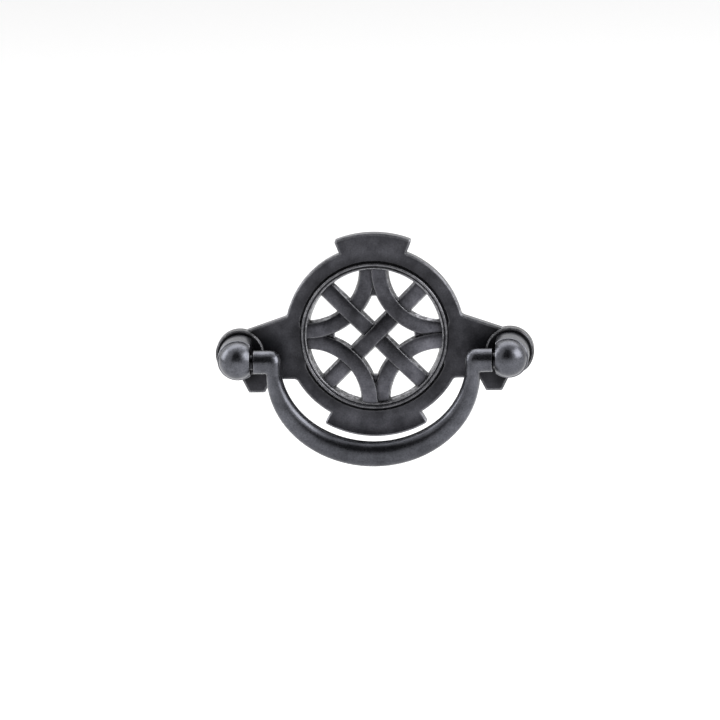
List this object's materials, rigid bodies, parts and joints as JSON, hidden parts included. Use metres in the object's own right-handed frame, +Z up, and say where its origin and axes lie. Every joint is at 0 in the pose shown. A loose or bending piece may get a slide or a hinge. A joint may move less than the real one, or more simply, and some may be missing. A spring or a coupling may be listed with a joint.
{
  "type": "cabinet pull",
  "caption": "Drop bail cabinet pull on a round pierced backplate with an interlaced lattice and two domed posts.",
  "frame": {"origin": "midway between the two screw axes, on the flat back of the plate", "axes": "+X from the left post to the right post, +Y out of the back into the door or drawer front, +Z up; the handle faces -Y"},
  "size_m": [0.09, 0.0191, 0.0648],
  "materials": {
    "plate_metal": "dark blue-black patina, satin, with edges rubbed lighter",
    "handle_metal": "dark blue-black patina, smoother and a little glossier than the plate"
  },
  "bodies": {
    "plate": {"backplate": "plate_metal", "left_post": "handle_metal", "right_post": "handle_metal"},
    "bail": {"bail": "handle_metal"}
  },
  "joints": [
    {"name": "bail_swing", "type": "hinge", "parent": "plate", "child": "bail", "pos_m": [0, -0.0131, -0.0006], "axis": [-1, 0, 0], "range_deg": [-15, 188]}
  ]
}
